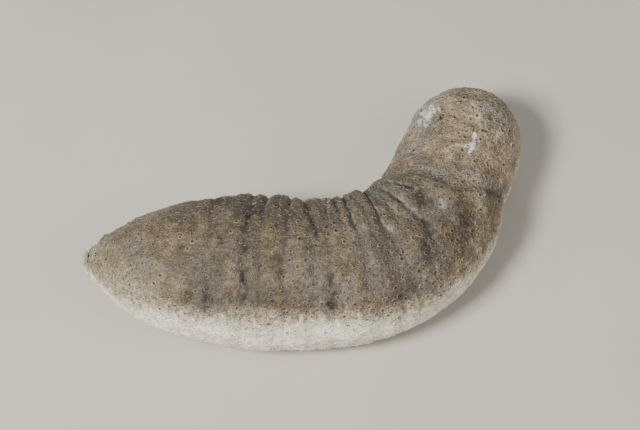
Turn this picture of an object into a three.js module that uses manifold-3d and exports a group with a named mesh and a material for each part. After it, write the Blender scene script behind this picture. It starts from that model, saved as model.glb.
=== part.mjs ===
// A sandfish sea cucumber at life size, lying on its sole with its body bent through about a right angle.
// Millimetres, +Z up, the floor at z = 0. The body is a skin swept along a spine curve on the floor plan.
// The back and the sole are parted all along, and both are divided into lengths from hind end to front.

import * as THREE from "three";
import Module from "manifold-3d";

const wasm = await Module();
wasm.setup();

// Driving sizes of the spine
const LENGTH = 217.5;
const HIND_TIP = { x: -89.898, y: -20.215 };
const REAR_HEADING = -3.5;
const FRONT_TURN = 73.5;
const TURN_START = 79.5;
const TURN_END = 177;
const TAIL_TURN = 6;
const TAIL_TURN_END = 60;
const SPINE_STEP = 0.5;

// Driving sizes of the body's cross sections
const STATIONS = [
  { at: 0, halfWidth: 6.4, top: 23.5, middle: 18, bottom: 12.5 },
  { at: 8, halfWidth: 11.3, top: 30, middle: 18, bottom: 6.8 },
  { at: 20, halfWidth: 20.3, top: 38.5, middle: 18, bottom: 1 },
  { at: 40, halfWidth: 28, top: 45, middle: 19, bottom: -4 },
  { at: 70, halfWidth: 33.4, top: 49.5, middle: 20, bottom: -6 },
  { at: 94, halfWidth: 32, top: 50, middle: 20, bottom: -6 },
  { at: 122, halfWidth: 31.6, top: 49, middle: 20, bottom: -6 },
  { at: 146, halfWidth: 30.1, top: 46, middle: 19, bottom: -5 },
  { at: 170, halfWidth: 26.5, top: 43, middle: 19, bottom: -4 },
  { at: 192, halfWidth: 24.8, top: 41, middle: 19, bottom: -1 },
  { at: LENGTH, halfWidth: 20.8, top: 39, middle: 20, bottom: 5 },
];
const HIND_CAP = 10;
const FRONT_CAP = 24;
const FRONT_CAP_POWER = 2.2;
const SOLE_HEIGHT = 1.2;
const SOLE_SOFTNESS = 1.2;

// Driving sizes of the folds across the body, with their depth on the inner flank, back and outer flank
const FOLDS = [
  { at: 0, inner: 0, back: 0, outer: 0 },
  { at: 14, inner: 0.3, back: 0.4, outer: 0.3 },
  { at: 32, inner: 0.3, back: 0.4, outer: 0.3 },
  { at: 53, inner: 0.5, back: 0.8, outer: 0.6 },
  { at: 67, inner: 0.9, back: 1.1, outer: 0.8 },
  { at: 74, inner: 1.6, back: 0.6, outer: 0.4 },
  { at: 84, inner: 1.8, back: 0.8, outer: 0.5 },
  { at: 94, inner: 1.6, back: 1.1, outer: 0.6 },
  { at: 101, inner: 1, back: 0.9, outer: 1 },
  { at: 107, inner: 1, back: 0.5, outer: 0.4 },
  { at: 113.5, inner: 2, back: 1.3, outer: 0.5 },
  { at: 120, inner: 1.1, back: 0.9, outer: 0.7 },
  { at: 127, inner: 1.4, back: 1.3, outer: 0.6 },
  { at: 133, inner: 2, back: 0.9, outer: 0.6 },
  { at: 141, inner: 2.6, back: 1.4, outer: 0.6 },
  { at: 149, inner: 1.8, back: 1, outer: 0.6 },
  { at: 158, inner: 2.8, back: 1.4, outer: 0.8 },
  { at: 170, inner: 0.9, back: 0.8, outer: 0.9 },
  { at: 184, inner: 0.5, back: 0.5, outer: 0.4 },
  { at: 200, inner: 0.4, back: 0.4, outer: 0.3 },
  { at: LENGTH, inner: 0, back: 0, outer: 0 },
];
const FOLD_POWER = 0.7;
const FOLD_FADE_BELOW = 0.7;

// Step of the skin where the front segment comes out of the bend like an arm out of a sleeve
const SLEEVE = [
  { turn: 15, at: 168 },
  { turn: 53, at: 163 },
  { turn: 100, at: 159 },
  { turn: 148, at: 156 },
];
const SLEEVE_DEPTH = 1.3;
const SLEEVE_RISE = 2.5;
const SLEEVE_FADE = 11;

// Where the body is divided
const GAP = 0.3;
const SPLIT_ANGLE = THREE.MathUtils.degToRad(20);
const VENT_CUT = 5;
const LENGTHS = [
  { name: "hind", from: VENT_CUT, to: 40 },
  { name: "rear", from: 40, to: 77 },
  { name: "middle", from: 77, to: 110 },
  { name: "bend", from: 110, to: 145 },
  { name: "shoulder", from: 145, to: 178 },
  { name: "front", from: 178, to: LENGTH },
];
const RING_GAP = 4;
const BACK_SIDES = 20;
const SOLE_SIDES = 18;
const FRONT_CAP_RINGS = [0.34, 0.6, 0.78, 0.9, 0.97];

// Tube feet on the sole
const FOOT_SPACING = 6.4;
const FOOT_JITTER = 1.3;
const FOOT_TIP_RADIUS = 1;
const FOOT_ROOT_RADIUS = 1.3;
const FOOT_ROOT_HEIGHT = 4.5;
const FOOT_SIDES = 6;
const FOOT_REACH = 0.7;
const FOOT_CLEARANCE = 2;
const FOOT_SIZE_SPREAD = 0.15;
const FOOT_SEED = 11;

// Vent at the hind tip, with its five groups of small papillae
const VENT_SIDES = 20;
const VENT_RINGS = [3.2, 1.7, 0.7];
const VENT_RIM_RADIUS = 2.6;
const VENT_RIM_DEPTH = 0.2;
const VENT_PIT_RADIUS = 1.4;
const VENT_PIT_DEPTH = 3;
const VENT_GROUPS = 5;
const VENT_PAPILLAE_IN_GROUP = 3;
const VENT_PAPILLA_LENGTH = 1.2;
const VENT_PAPILLA_RADIUS = 0.62;
const VENT_PAPILLA_SINK = 2;
const VENT_PAPILLA_SPREAD = 0.3;
const VENT_PAPILLA_JITTER = 0.05;
const VENT_SEED = 23;

// Mouth under the front end, with its ring of shield-tipped tentacles
const MOUTH_BEFORE_TIP = 6.8;
const MOUTH_HEIGHT = 9;
const MOUTH_TILT = THREE.MathUtils.degToRad(57);
const MOUTH_RADIUS = 7.2;
const MOUTH_DEPTH = 4.2;
const MOUTH_PIT_RADIUS = 1.6;
const MOUTH_PIT_DEPTH = 1.4;
const MOUTH_PROFILE = [
  { out: -MOUTH_DEPTH, radius: MOUTH_RADIUS },
  { out: -0.5, radius: MOUTH_RADIUS },
  { out: 0.3, radius: MOUTH_RADIUS - 0.8 },
  { out: -0.2, radius: MOUTH_PIT_RADIUS * 2 },
  { out: 0.2, radius: MOUTH_PIT_RADIUS },
];
const MOUTH_SIDES = 24;
const TENTACLES = 20;
const TENTACLE_RING_RADII = [5.6, 4.4];
const TENTACLE_SINK = 2;
const TENTACLE_JITTER = 0.15;
const TENTACLE_LENGTH_SPREAD = 0.1;
const TENTACLE_RADIUS = 0.7;
const TENTACLE_NECK_RADIUS = 0.56;
const TENTACLE_LENGTHS = [3.9, 2.7];
const TENTACLE_SPLAYS = [THREE.MathUtils.degToRad(34), THREE.MathUtils.degToRad(14)];
const TENTACLE_SHIELD_RADIUS = 1.15;
const TENTACLE_TIP_RADIUS = 0.86;
const TENTACLE_SHIELD_THICKNESS = 0.8;
const TENTACLE_SIDES = 6;
const TENTACLE_SEED = 31;

// Materials
const backMaterial = new THREE.MeshStandardMaterial({ color: 0x8c7f70, roughness: 0.6, metalness: 0 });
const soleMaterial = new THREE.MeshStandardMaterial({ color: 0xe0ddd4, roughness: 0.6, metalness: 0 });
const ventMaterial = new THREE.MeshStandardMaterial({ color: 0xb0a595, roughness: 0.6, metalness: 0 });
const mouthMaterial = new THREE.MeshStandardMaterial({ color: 0x7c7163, roughness: 0.5, metalness: 0 });

// Small helpers
const UPRIGHT_SHARE = 0.9;
const RANDOM_FACTOR = 16807;
const RANDOM_RANGE = 2147483647;

const smooth = (value) => {
  const t = THREE.MathUtils.clamp(value, 0, 1);
  return t * t * (3 - 2 * t);
};

// A repeatable draw from 0 to 1, and one from 1 - spread to 1 + spread
function seededRandom(seed) {
  let state = seed;
  return () => {
    state = (state * RANDOM_FACTOR) % RANDOM_RANGE;
    return state / RANDOM_RANGE;
  };
}

function varied(random, spread) {
  return 1 + spread * (2 * random() - 1);
}

// The spine: its heading in radians and its points, half a millimetre apart
function heading(at) {
  const tail = TAIL_TURN * (1 - smooth(at / TAIL_TURN_END));
  const turn = FRONT_TURN * smooth((at - TURN_START) / (TURN_END - TURN_START));
  return THREE.MathUtils.degToRad(REAR_HEADING - tail + turn);
}

const spinePoints = [new THREE.Vector2(HIND_TIP.x, HIND_TIP.y)];
for (let at = SPINE_STEP / 2; at < LENGTH; at += SPINE_STEP) {
  const last = spinePoints[spinePoints.length - 1];
  const step = new THREE.Vector2(Math.cos(heading(at)), Math.sin(heading(at))).multiplyScalar(SPINE_STEP);
  spinePoints.push(last.clone().add(step));
}

function spineFrame(at) {
  const index = Math.min(Math.floor(at / SPINE_STEP), spinePoints.length - 2);
  const start = spinePoints[index];
  const rest = at - index * SPINE_STEP;
  const forward = new THREE.Vector2(Math.cos(heading(at)), Math.sin(heading(at)));
  const right = new THREE.Vector2(forward.y, -forward.x);
  return { x: start.x + forward.x * rest, y: start.y + forward.y * rest, forward, right };
}

// A smooth curve through one size of the stations
function slopeAt(index, key) {
  const before = STATIONS[Math.max(index - 1, 0)];
  const after = STATIONS[Math.min(index + 1, STATIONS.length - 1)];
  return (after[key] - before[key]) / (after.at - before.at);
}

function along(at, key) {
  let index = 0;
  while (index < STATIONS.length - 2 && STATIONS[index + 1].at <= at) {
    index += 1;
  }
  const a = STATIONS[index];
  const b = STATIONS[index + 1];
  const span = b.at - a.at;
  const t = (at - a.at) / span;
  const t2 = t * t;
  const t3 = t2 * t;
  const fromPoints = (2 * t3 - 3 * t2 + 1) * a[key] + (3 * t2 - 2 * t3) * b[key];
  const fromSlopes = (t3 - 2 * t2 + t) * slopeAt(index, key) + (t3 - t2) * slopeAt(index + 1, key);
  return fromPoints + fromSlopes * span;
}

function endScale(at) {
  const front = Math.max((at - (LENGTH - FRONT_CAP)) / FRONT_CAP, 0);
  const hind = Math.max(1 - at / HIND_CAP, 0);
  const frontScale = Math.pow(Math.max(1 - Math.pow(front, FRONT_CAP_POWER), 0), 1 / FRONT_CAP_POWER);
  return frontScale * Math.sqrt(Math.max(1 - hind * hind, 0));
}

// How deep the skin lies in a fold, where side is -1 on the inner flank and rise is 1 on the back
function foldDepth(at, side, rise) {
  let index = 0;
  while (index < FOLDS.length - 2 && FOLDS[index + 1].at <= at) {
    index += 1;
  }
  const a = FOLDS[index];
  const b = FOLDS[index + 1];
  const share = THREE.MathUtils.clamp((at - a.at) / (b.at - a.at), 0, 1);
  const valley = 1 - Math.pow(Math.sin(Math.PI * share), FOLD_POWER);
  const depth = (key) => THREE.MathUtils.lerp(a[key], b[key], share);
  const inner = depth("inner") * Math.max(-side, 0) ** 2;
  const outer = depth("outer") * Math.max(side, 0) ** 2;
  const back = depth("back") * Math.max(rise, 0) ** 2;
  const fade = rise < 0 ? 1 - smooth(-rise / FOLD_FADE_BELOW) : 1;
  return ((inner + outer + back) * valley + sleeveDepth(at, side, rise)) * fade;
}

function sleeveDepth(at, side, rise) {
  const turn = THREE.MathUtils.radToDeg(Math.atan2(Math.max(rise, 0), side));
  const last = SLEEVE.length - 1;
  let edge = turn < SLEEVE[0].turn ? SLEEVE[0].at : SLEEVE[last].at;
  for (let index = 0; index < last; index += 1) {
    const a = SLEEVE[index];
    const b = SLEEVE[index + 1];
    if (turn >= a.turn && turn < b.turn) {
      edge = THREE.MathUtils.mapLinear(turn, a.turn, b.turn, a.at, b.at);
    }
  }
  const past = Math.max(at - edge, 0);
  return SLEEVE_DEPTH * smooth(past / SLEEVE_RISE) * Math.exp(-past / SLEEVE_FADE);
}

// A point of the skin, at an arc length and an angle about the spine
function skinPoint(at, angle) {
  const side = Math.cos(angle);
  const rise = Math.sin(angle);
  const scale = endScale(at);
  const halfWidth = along(at, "halfWidth");
  const middle = along(at, "middle");
  const halfHeight = rise >= 0 ? along(at, "top") - middle : middle - along(at, "bottom");
  const normal = new THREE.Vector2(side / halfWidth, rise / halfHeight).normalize();
  const depth = foldDepth(at, side, rise);
  const across = halfWidth * scale * side - depth * normal.x;
  const height = middle + halfHeight * scale * rise - depth * normal.y;
  const over = height - SOLE_HEIGHT;
  const z = SOLE_HEIGHT + (over + Math.hypot(over, SOLE_SOFTNESS)) / 2;
  const frame = spineFrame(at);
  return new THREE.Vector3(frame.x + frame.right.x * across, frame.y + frame.right.y * across, z);
}

// A closed body through rings of as many points each, closed by a fan at both ends
function loftGeometry(rings, firstCentre, lastCentre) {
  const sides = rings[0].length;
  const positions = [];
  rings.forEach((ring) => ring.forEach((point) => positions.push(point.x, point.y, point.z)));
  positions.push(firstCentre.x, firstCentre.y, firstCentre.z, lastCentre.x, lastCentre.y, lastCentre.z);
  const firstIndex = rings.length * sides;
  const faces = [];
  for (let side = 0; side < sides; side += 1) {
    const next = (side + 1) % sides;
    faces.push([firstIndex, next, side]);
    for (let ring = 0; ring < rings.length - 1; ring += 1) {
      const low = ring * sides;
      const high = low + sides;
      faces.push([low + side, low + next, high + next], [low + side, high + next, high + side]);
    }
    const last = (rings.length - 1) * sides;
    faces.push([firstIndex + 1, last + side, last + next]);
  }
  return facingOut(positions, faces);
}

function facingOut(positions, faces) {
  const corner = (index) => new THREE.Vector3().fromArray(positions, index * 3);
  let volume = 0;
  faces.forEach(([a, b, c]) => {
    volume += corner(a).dot(corner(b).cross(corner(c)));
  });
  const turned = volume < 0 ? faces.map(([a, b, c]) => [a, c, b]) : faces;
  const geometry = new THREE.BufferGeometry();
  geometry.setAttribute("position", new THREE.Float32BufferAttribute(positions, 3));
  geometry.setIndex(turned.flat());
  return geometry;
}

function centreOf(points) {
  const sum = points.reduce((total, point) => total.add(point), new THREE.Vector3());
  return sum.divideScalar(points.length);
}

// Joining and cutting of closed bodies
function toSolid(geometry) {
  const vertProperties = new Float32Array(geometry.getAttribute("position").array);
  const triVerts = new Uint32Array(geometry.getIndex().array);
  return new wasm.Manifold(new wasm.Mesh({ numProp: 3, vertProperties, triVerts }));
}

function toGeometry(solid) {
  const bodies = solid.decompose().sort((a, b) => b.volume() - a.volume());
  const mesh = bodies[0].getMesh();
  const geometry = new THREE.BufferGeometry();
  geometry.setAttribute("position", new THREE.Float32BufferAttribute(mesh.vertProperties, 3));
  geometry.setIndex(Array.from(mesh.triVerts));
  return geometry;
}

function fused(geometry, additions) {
  const solid = additions.reduce((joined, addition) => joined.add(toSolid(addition)), toSolid(geometry));
  return toGeometry(solid);
}

// Places of the rings along one length: at each fold and evenly between folds, closer together in the cap
function ringPlaces(from, to) {
  const capStart = LENGTH - FRONT_CAP;
  const end = Math.min(to, capStart);
  const marks = [from, ...FOLDS.map((fold) => fold.at).filter((at) => at > from && at < end), end];
  const places = [from];
  for (let index = 1; index < marks.length; index += 1) {
    const span = marks[index] - marks[index - 1];
    const steps = Math.max(Math.ceil(span / RING_GAP), 1);
    for (let step = 1; step <= steps; step += 1) {
      places.push(marks[index - 1] + (span * step) / steps);
    }
  }
  if (to > capStart) {
    FRONT_CAP_RINGS.forEach((share) => places.push(capStart + share * FRONT_CAP));
  }
  return places;
}

function ringAngles(isBack) {
  const sides = isBack ? BACK_SIDES : SOLE_SIDES;
  const sweep = isBack ? Math.PI - 2 * SPLIT_ANGLE : -Math.PI - 2 * SPLIT_ANGLE;
  return Array.from({ length: sides + 1 }, (_, index) => SPLIT_ANGLE + (sweep * index) / sides);
}

// One length of the back or the sole, half a gap short of its cuts
function lengthGeometry(part, isBack) {
  const angles = ringAngles(isBack);
  const lift = isBack ? GAP / 2 : -GAP / 2;
  const places = ringPlaces(part.from, part.to);
  const rings = places.map((at, index) => {
    const { forward } = spineFrame(at);
    const isFirst = index === 0;
    const isLast = index === places.length - 1 && part.to < LENGTH;
    const shift = isFirst ? GAP / 2 : isLast ? -GAP / 2 : 0;
    return angles.map((angle, turn) => {
      const point = skinPoint(at, angle);
      const isEdge = turn === 0 || turn === angles.length - 1;
      return point.add(new THREE.Vector3(forward.x * shift, forward.y * shift, isEdge ? lift : 0));
    });
  });
  const tip = spineFrame(LENGTH);
  const pole = new THREE.Vector3(tip.x, tip.y, along(LENGTH, "middle") + lift);
  const lastCentre = part.to < LENGTH ? centreOf(rings[rings.length - 1]) : pole;
  return loftGeometry(rings, centreOf(rings[0]), lastCentre);
}

// A tapered peg between two points, flat at both ends
function pegGeometry(root, tip, rootRadius, tipRadius, sides, turn) {
  const axis = tip.clone().sub(root).normalize();
  const isUpright = Math.abs(axis.z) > UPRIGHT_SHARE;
  const helper = isUpright ? new THREE.Vector3(1, 0, 0) : new THREE.Vector3(0, 0, 1);
  const across = new THREE.Vector3().crossVectors(axis, helper).normalize();
  const upward = new THREE.Vector3().crossVectors(axis, across);
  const ring = (centre, radius) =>
    Array.from({ length: sides }, (_, index) => {
      const angle = turn + (2 * Math.PI * index) / sides;
      const point = centre.clone().addScaledVector(across, radius * Math.cos(angle));
      return point.addScaledVector(upward, radius * Math.sin(angle));
    });
  return loftGeometry([ring(root, rootRadius), ring(tip, tipRadius)], root, tip);
}

// Tube feet of one length of the sole, with their flat tips on the floor
function feetOf(part) {
  const random = seededRandom(FOOT_SEED + Math.round(part.from));
  const feet = [];
  const isFront = part.to === LENGTH;
  const to = isFront ? LENGTH - FRONT_CAP : part.to - FOOT_CLEARANCE;
  for (let at = part.from + FOOT_CLEARANCE; at <= to; at += FOOT_SPACING) {
    const reach = FOOT_REACH * along(at, "halfWidth") * endScale(at);
    const count = Math.floor(reach / FOOT_SPACING);
    for (let column = -count; column <= count; column += 1) {
      const wanted = at + (random() - 0.5) * 2 * FOOT_JITTER;
      const footAt = THREE.MathUtils.clamp(wanted, part.from + FOOT_CLEARANCE, to);
      const across = column * FOOT_SPACING + (random() - 0.5) * 2 * FOOT_JITTER;
      const size = varied(random, FOOT_SIZE_SPREAD);
      const turn = random() * Math.PI;
      const frame = spineFrame(footAt);
      const x = frame.x + frame.right.x * across;
      const y = frame.y + frame.right.y * across;
      if (soleHeightAt(footAt, across) > FOOT_ROOT_HEIGHT / 2) {
        continue;
      }
      const root = new THREE.Vector3(x, y, FOOT_ROOT_HEIGHT);
      const tip = new THREE.Vector3(x, y, 0);
      feet.push(pegGeometry(root, tip, FOOT_ROOT_RADIUS * size, FOOT_TIP_RADIUS * size, FOOT_SIDES, turn));
    }
  }
  return feet;
}

function soleHeightAt(at, across) {
  const share = across / (along(at, "halfWidth") * endScale(at));
  return skinPoint(at, -Math.acos(THREE.MathUtils.clamp(share, -1, 1))).z;
}

// A point behind the hind tip, at a radius and an angle about the vent
function ventPlace(out, radius, angle) {
  const { x, y, forward, right } = spineFrame(0);
  const level = new THREE.Vector3(x, y, along(0, "middle") + radius * Math.sin(angle));
  const across = radius * Math.cos(angle);
  const shift = new THREE.Vector3(right.x * across - forward.x * out, right.y * across - forward.y * out, 0);
  return level.add(shift);
}

// The hind tip with its puckered vent
function ventGeometry() {
  const angles = Array.from({ length: VENT_SIDES }, (_, index) => (2 * Math.PI * index) / VENT_SIDES);
  const cutForward = spineFrame(VENT_CUT).forward;
  const cutShift = new THREE.Vector3(cutForward.x, cutForward.y, 0).multiplyScalar(-GAP / 2);
  const rings = [
    angles.map((angle) => skinPoint(VENT_CUT, angle).add(cutShift)),
    ...VENT_RINGS.map((at) => angles.map((angle) => skinPoint(at, angle))),
    angles.map((angle) => ventPlace(-VENT_RIM_DEPTH, VENT_RIM_RADIUS, angle)),
    angles.map((angle) => ventPlace(-VENT_PIT_DEPTH / 2, VENT_PIT_RADIUS, angle)),
  ];
  const body = loftGeometry(rings, centreOf(rings[0]), ventPlace(-VENT_PIT_DEPTH, 0, 0));
  return fused(body, ventPapillae());
}

function ventPapillae() {
  const random = seededRandom(VENT_SEED);
  const papillae = [];
  for (let group = 0; group < VENT_GROUPS; group += 1) {
    for (let index = 0; index < VENT_PAPILLAE_IN_GROUP; index += 1) {
      const jitter = VENT_PAPILLA_JITTER * (2 * random() - 1);
      const spread = (index - (VENT_PAPILLAE_IN_GROUP - 1) / 2) * VENT_PAPILLA_SPREAD + jitter;
      const angle = Math.PI / 2 + (2 * Math.PI * group) / VENT_GROUPS + spread;
      const root = ventPlace(-VENT_PAPILLA_SINK, VENT_RIM_RADIUS, angle);
      const tip = ventPlace(VENT_PAPILLA_LENGTH * varied(random, FOOT_SIZE_SPREAD), VENT_RIM_RADIUS, angle);
      papillae.push(pegGeometry(root, tip, VENT_PAPILLA_RADIUS, VENT_PAPILLA_RADIUS / 2, FOOT_SIDES, 0));
    }
  }
  return papillae;
}

// The mouth's own frame: its centre, the way it faces and two directions across it
function mouthFrame() {
  const frame = spineFrame(LENGTH - MOUTH_BEFORE_TIP);
  const centre = new THREE.Vector3(frame.x, frame.y, MOUTH_HEIGHT);
  const level = new THREE.Vector3(frame.forward.x, frame.forward.y, 0);
  const facing = level.clone().multiplyScalar(Math.cos(MOUTH_TILT));
  facing.z = -Math.sin(MOUTH_TILT);
  const across = new THREE.Vector3(frame.right.x, frame.right.y, 0);
  const upward = new THREE.Vector3().crossVectors(facing, across);
  return { centre, facing, across, upward };
}

function mouthRing(out, radius) {
  const { centre, facing, across, upward } = mouthFrame();
  return Array.from({ length: MOUTH_SIDES }, (_, index) => {
    const angle = (2 * Math.PI * index) / MOUTH_SIDES;
    const point = centre.clone().addScaledVector(facing, out);
    point.addScaledVector(across, radius * Math.cos(angle));
    return point.addScaledVector(upward, radius * Math.sin(angle));
  });
}

// What the front of the sole leaves free for the mouth
function mouthRecess() {
  const { centre, facing } = mouthFrame();
  const inner = -MOUTH_DEPTH - GAP;
  const outer = MOUTH_RADIUS * 2;
  const rings = [mouthRing(inner, MOUTH_RADIUS + GAP), mouthRing(outer, MOUTH_RADIUS + GAP)];
  const back = centre.clone().addScaledVector(facing, inner);
  return loftGeometry(rings, back, centre.clone().addScaledVector(facing, outer));
}

function mouthGeometry() {
  const { centre, facing } = mouthFrame();
  const rings = MOUTH_PROFILE.map(({ out, radius }) => mouthRing(out, radius));
  const back = centre.clone().addScaledVector(facing, -MOUTH_DEPTH);
  const pit = centre.clone().addScaledVector(facing, -MOUTH_PIT_DEPTH);
  return fused(loftGeometry(rings, back, pit), tentacles());
}

// Tentacles in a ring, long and short by turns, each a stalk under a small shield
function tentacles() {
  const random = seededRandom(TENTACLE_SEED);
  const { centre, facing, across, upward } = mouthFrame();
  const pieces = [];
  for (let index = 0; index < TENTACLES; index += 1) {
    const jitter = TENTACLE_JITTER * (2 * random() - 1);
    const angle = (2 * Math.PI * (index + jitter)) / TENTACLES;
    const kind = index % TENTACLE_LENGTHS.length;
    const outward = across.clone().multiplyScalar(Math.cos(angle)).addScaledVector(upward, Math.sin(angle));
    const direction = facing.clone().multiplyScalar(Math.cos(TENTACLE_SPLAYS[kind]));
    direction.addScaledVector(outward, Math.sin(TENTACLE_SPLAYS[kind])).normalize();
    const base = centre.clone().addScaledVector(outward, TENTACLE_RING_RADII[kind]);
    const place = (out) => base.clone().addScaledVector(direction, out);
    const length = TENTACLE_LENGTHS[kind] * varied(random, TENTACLE_LENGTH_SPREAD);
    const under = place(length - TENTACLE_SHIELD_THICKNESS / 2);
    const tip = place(length + TENTACLE_SHIELD_THICKNESS);
    const root = place(-TENTACLE_SINK);
    pieces.push(pegGeometry(root, place(length), TENTACLE_RADIUS, TENTACLE_NECK_RADIUS, TENTACLE_SIDES, angle));
    pieces.push(pegGeometry(under, tip, TENTACLE_SHIELD_RADIUS, TENTACLE_TIP_RADIUS, TENTACLE_SIDES, 0));
  }
  return pieces;
}

function soleGeometry(part) {
  const joined = fused(lengthGeometry(part, false), feetOf(part));
  if (part.to < LENGTH) {
    return joined;
  }
  return toGeometry(toSolid(joined).subtract(toSolid(mouthRecess())));
}

function namedMesh(name, geometry, material) {
  const mesh = new THREE.Mesh(geometry, material);
  mesh.name = name;
  return mesh;
}

const group = new THREE.Group();
LENGTHS.forEach((part) => {
  group.add(namedMesh(`back_${part.name}`, lengthGeometry(part, true), backMaterial));
  group.add(namedMesh(`sole_${part.name}`, soleGeometry(part), soleMaterial));
});
group.add(namedMesh("vent", ventGeometry(), ventMaterial));
group.add(namedMesh("mouth", mouthGeometry(), mouthMaterial));

export default group;
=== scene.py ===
# A sandfish sea cucumber at life size: one fine skin with its folds, pores, tube feet, vent and mouth,
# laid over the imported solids, on a plain pale floor. Sizes are in millimetres until a mesh is made.
import math

import bpy
import numpy as np
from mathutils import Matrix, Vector


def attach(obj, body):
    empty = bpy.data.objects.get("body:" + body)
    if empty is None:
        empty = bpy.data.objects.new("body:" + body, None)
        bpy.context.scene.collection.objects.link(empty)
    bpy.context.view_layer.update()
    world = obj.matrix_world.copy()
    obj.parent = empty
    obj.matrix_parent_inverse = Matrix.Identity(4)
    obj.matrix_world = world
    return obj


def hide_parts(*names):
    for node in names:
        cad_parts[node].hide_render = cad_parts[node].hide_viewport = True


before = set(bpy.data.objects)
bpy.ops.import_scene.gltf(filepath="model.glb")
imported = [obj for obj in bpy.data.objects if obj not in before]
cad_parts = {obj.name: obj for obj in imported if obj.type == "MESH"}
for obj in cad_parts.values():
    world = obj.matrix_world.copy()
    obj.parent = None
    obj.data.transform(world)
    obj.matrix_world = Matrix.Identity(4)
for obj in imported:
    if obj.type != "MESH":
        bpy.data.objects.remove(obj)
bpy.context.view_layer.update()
MM = 0.001

# Spine
LENGTH = 217.5
HIND_TIP = (-89.898, -20.215)
REAR_HEADING = -3.5
FRONT_TURN = 73.5
TURN_START, TURN_END = 79.5, 177
TAIL_TURN, TAIL_TURN_END = 6, 60
SPINE_STEP = 0.5

# Cross sections: place along the spine, half width, top, middle and bottom heights
STATIONS = np.array([
    (0, 6.4, 23.5, 18, 12.5),
    (8, 11.3, 30, 18, 6.8),
    (20, 20.3, 38.5, 18, 1),
    (40, 28, 45, 19, -4),
    (70, 33.4, 49.5, 20, -6),
    (94, 32, 50, 20, -6),
    (122, 31.6, 49, 20, -6),
    (146, 30.1, 46, 19, -5),
    (170, 26.5, 43, 19, -4),
    (192, 24.8, 41, 19, -1),
    (LENGTH, 20.8, 39, 20, 5),
])
HALF_WIDTH, TOP, MIDDLE, BOTTOM = 1, 2, 3, 4
HIND_CAP, FRONT_CAP, FRONT_CAP_POWER = 10, 24, 2.2
SOLE_HEIGHT, SOLE_SOFTNESS = 1.2, 1.2

# Folds: place, depth on the inner flank, back and outer flank, and how far each flank's end leans forward
FOLDS = (
    (14, 0.3, 0.4, 0.3, 0, 0),
    (32, 0.3, 0.4, 0.3, 0, 0),
    (53, 0.5, 0.8, 0.6, 0, 0),
    (67, 0.9, 1.1, 0.8, 1, 0),
    (74, 1.6, 0.6, 0.4, 0, 0),
    (84, 1.8, 0.8, 0.5, 0, 0),
    (95, 1.6, 1.1, 0.6, -4, 0),
    (101, 1, 0.9, 1, -1, -1),
    (107, 1, 0.5, 0.4, 0, 0),
    (113, 2.2, 1.5, 0.5, 2, 0),
    (120, 1.1, 0.9, 0.7, 1, 0),
    (125, 1.8, 1.7, 0.6, 8, 0),
    (132, 2, 0.8, 0.6, 4, 0),
    (138.5, 2.6, 1.6, 0.6, 3, -3),
    (148, 1.8, 1, 0.6, 1, -2),
    (158.5, 2.8, 1.6, 1.2, -2, 9),
    (170, 0.8, 0.7, 0.5, 0, 3),
    (184, 0.5, 0.5, 0.4, 0, 0),
    (200, 0.4, 0.4, 0.3, 0, 0),
)
FOLD_WIDTH, FOLD_SHARPNESS = 2.1, 1.3
FOLD_NARROWEST, FOLD_WIDENING = 0.8, 0.25
FOLD_LEAN_REACH = 1.2
FOLD_LOST_BELOW, FOLD_LOST_BY = 0.85, 0.7
# Every noise of the shape and the marks is a mean, a swing, the size of its lumps and a seed
FOLD_WANDER, FOLD_SWING = (0, 1.3, 11, 40), (0.85, 0.45, 9, 50)

# Step where the front segment comes out of the bend like an arm out of a sleeve
SLEEVE_TURNS = (15, 53, 100, 148)
SLEEVE_PLACES = (168, 163, 159, 156)
SLEEVE_DEPTH, SLEEVE_RISE, SLEEVE_FADE = 1.3, 2.5, 11

# Sharp creases: turns about the spine in degrees, places along it, half width and depth
CREASES = (
    ((84, 108, 124, 165), (114.6, 113, 113.2, 116), 1, 1.2),
    ((76, 92, 115, 165), (126.9, 124.6, 126.5, 137), 1, 1.3),
    ((72, 97, 124, 165), (138.8, 138.6, 141.2, 147), 1, 1.2),
    ((100, 121, 150), (148.4, 148.2, 150), 0.8, 1),
    ((110, 140, 165), (73.6, 74.5, 75), 0.9, 0.7),
    ((118, 140, 165), (83.5, 84, 84.5), 0.9, 0.7),
    ((112, 140, 165), (101, 103.5, 105), 0.9, 0.6),
    ((95, 118, 150), (132.5, 133, 136), 0.7, 0.6),
    ((30, 52, 70), (131.8, 133, 136), 0.8, 0.5),
)
CREASE_SHARPNESS, CREASE_END_TURNS, CREASE_WANDER = 1.5, 9, (0, 0.5, 5, 300)
# Pale line along the front lip of a crease
LIP_SHIFT, LIP_WIDTH, LIP_STRENGTH, LIP_GAPS = 0.75, 0.34, 0.2, (0.5, 1.2, 3, 400)

# Cross wrinkles: size along the body, squeeze round it, depth, power and seed
WRINKLES = ((2.3, 0.28, 0.24, 3, 60), (5.5, 0.22, 0.42, 4, 61))
WRINKLES_PLAIN, WRINKLES_IN_BEND = 0.7, 1.1
BEND_MIDDLE, BEND_REACH, BEND_SIDE = 128, 34, 0.4
UNROLLED_RADIUS = 9
LUMPS = ((0, 0.4, 8, 63), (0, 0.2, 2.2, 66))
CALM_BELOW, CALM_BY = 0.8, 0.6
END_EASE = 2.5

# Puckers and crumples round the vent
VENT_REACH = 13
PUCKER_HEIGHT, PUCKER_LEVEL, PUCKER_LENGTH, PUCKER = 2.8, 0.8, 30, (0, 1, 0.36, 70)
CRUMPLE = (0, 2.4, 3.6, 71)

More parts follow.
